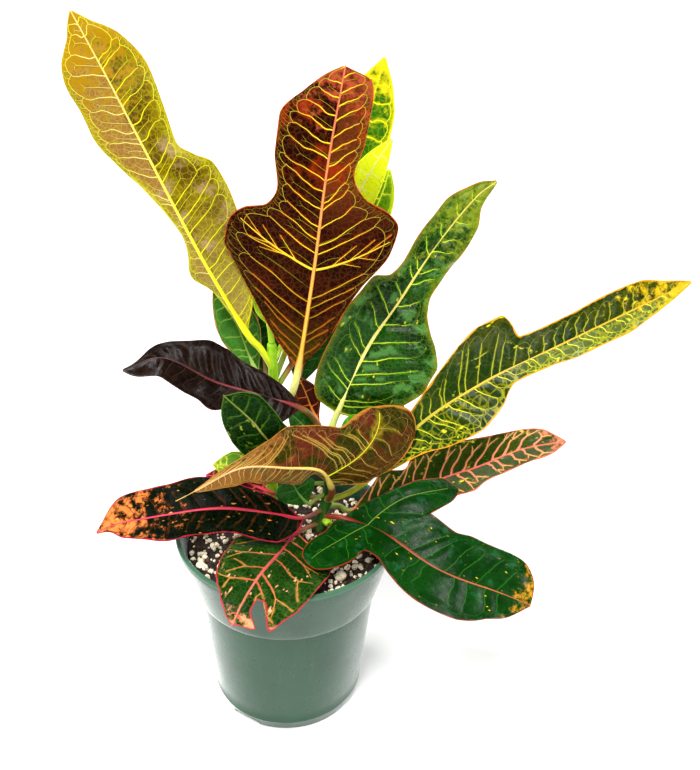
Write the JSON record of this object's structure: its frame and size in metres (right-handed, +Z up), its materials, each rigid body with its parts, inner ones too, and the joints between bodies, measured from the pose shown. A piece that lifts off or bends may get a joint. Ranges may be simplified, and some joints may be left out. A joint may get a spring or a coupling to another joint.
{
  "type": "potted croton",
  "caption": "Croton houseplant with lobed, strongly veined leaves on short stems, growing in potting soil in a round tapered green plastic nursery pot.",
  "frame": {"origin": "centre of the pot's flat base, on the surface that the pot stands on", "axes": "+Z up along the pot's axis; -Y is the plant's front, towards the viewer of the picture; +X is the viewer's right"},
  "size_m": [0.2805, 0.1377, 0.3263],
  "materials": {
    "pot_plastic": "satin mid-green moulded plastic with faint scuffs",
    "potting_soil": "loose dark peat with bark bits and pale perlite grains",
    "stem_green": "smooth dark green living stem",
    "stem_bright": "smooth bright yellow-green living stem",
    "leaf_olive": "olive leaf with yellow veins and margin, satin",
    "leaf_maroon": "maroon-brown leaf with yellow-orange veins, satin",
    "leaf_deep_green": "deep green glossy leaf with yellow or pink veins",
    "leaf_dark": "near-black green or purple glossy leaf with red midrib and margin",
    "leaf_bright": "bright yellow-green young leaf, satin"
  },
  "bodies": {
    "root": {"pot": "pot_plastic", "soil": "potting_soil", "stem_front": "stem_green", "stem_back": "stem_bright", "leaf_tall_left": "leaf_olive", "leaf_maroon": "leaf_maroon", "leaf_right_upper": "leaf_deep_green", "leaf_right_long": "leaf_olive", "leaf_right_pink": "leaf_deep_green", "leaf_front_right": "leaf_deep_green", "leaf_front": "leaf_deep_green", "leaf_left_low": "leaf_dark", "leaf_twisted": "leaf_olive", "leaf_purple": "leaf_dark", "leaf_small_left": "leaf_deep_green", "leaf_small_low": "leaf_deep_green", "leaf_small_middle": "leaf_deep_green", "leaf_small_red": "leaf_dark", "leaf_small_bright": "leaf_bright", "leaf_small_behind": "leaf_deep_green", "leaf_left_green": "leaf_bright", "leaf_left_red": "leaf_dark", "leaf_back_left": "leaf_deep_green", "leaf_back_big": "leaf_deep_green", "leaf_back_big_right": "leaf_deep_green", "leaf_back_top": "leaf_olive", "leaf_lime": "leaf_bright", "leaf_back_right": "leaf_olive", "leaf_young": "leaf_bright"}
  },
  "joints": []
}
